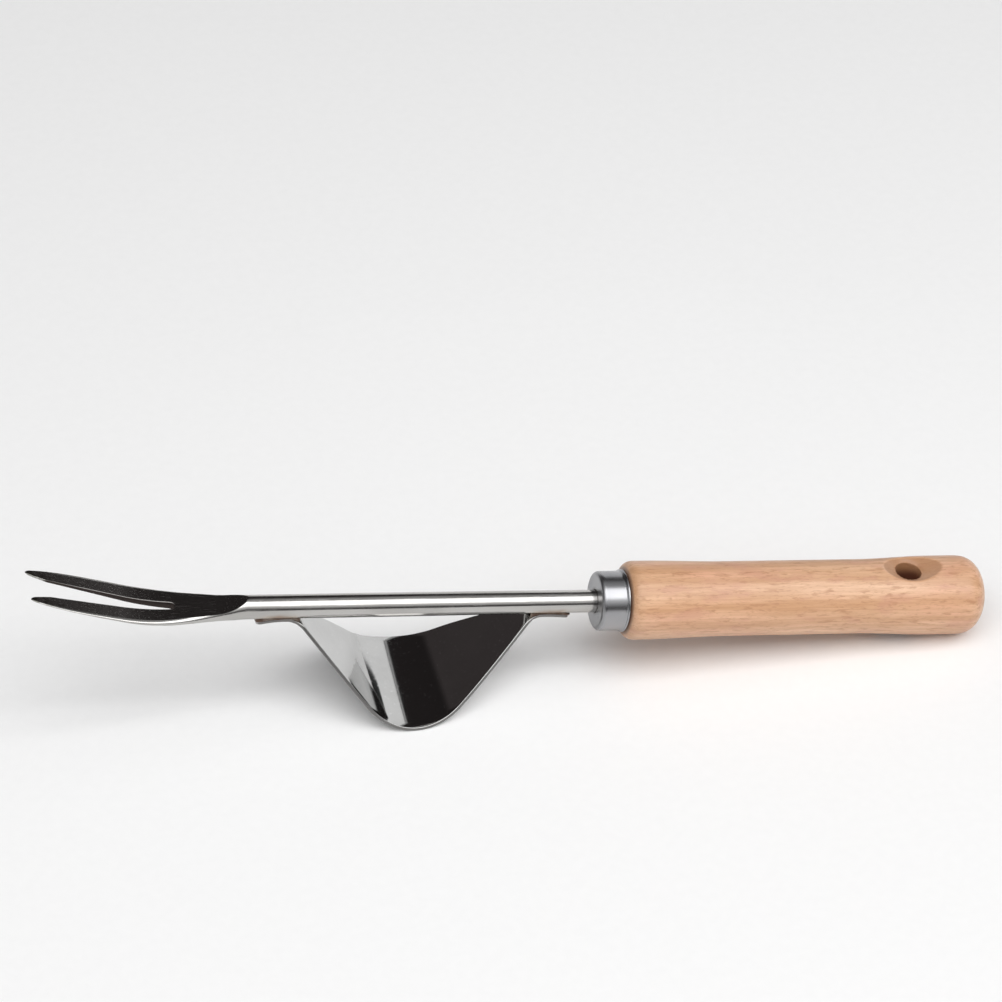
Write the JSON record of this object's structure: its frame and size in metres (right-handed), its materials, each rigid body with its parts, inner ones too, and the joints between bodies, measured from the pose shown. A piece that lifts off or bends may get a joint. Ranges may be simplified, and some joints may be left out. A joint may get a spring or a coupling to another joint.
{
  "type": "hand weeder",
  "caption": "Hand weeder with a forged two-tine fork, a round shaft, a leaf-shaped fulcrum plate and a turned wooden handle with a hang hole.",
  "frame": {"origin": "middle of the hang hole, on its axis and on the tool's long axis", "axes": "+X along the tool from the fork to the butt, +Z along the hang hole away from the fulcrum plate, +Y across the tool"},
  "size_m": [0.33, 0.0466, 0.0485],
  "materials": {
    "beech": "sanded, light oil",
    "ferrule_steel": "lathe brushed",
    "forged_steel": "polished stainless",
    "sheet_steel": "polished stainless sheet",
    "weld_metal": "heat tinted",
    "cured_glue": "cured epoxy"
  },
  "bodies": {
    "root": {"handle": "beech", "ferrule": "ferrule_steel", "fork_shaft": "forged_steel", "fulcrum_plate": "sheet_steel", "front_weld": "weld_metal", "rear_weld": "weld_metal", "tang_adhesive": "cured_glue"}
  },
  "joints": []
}
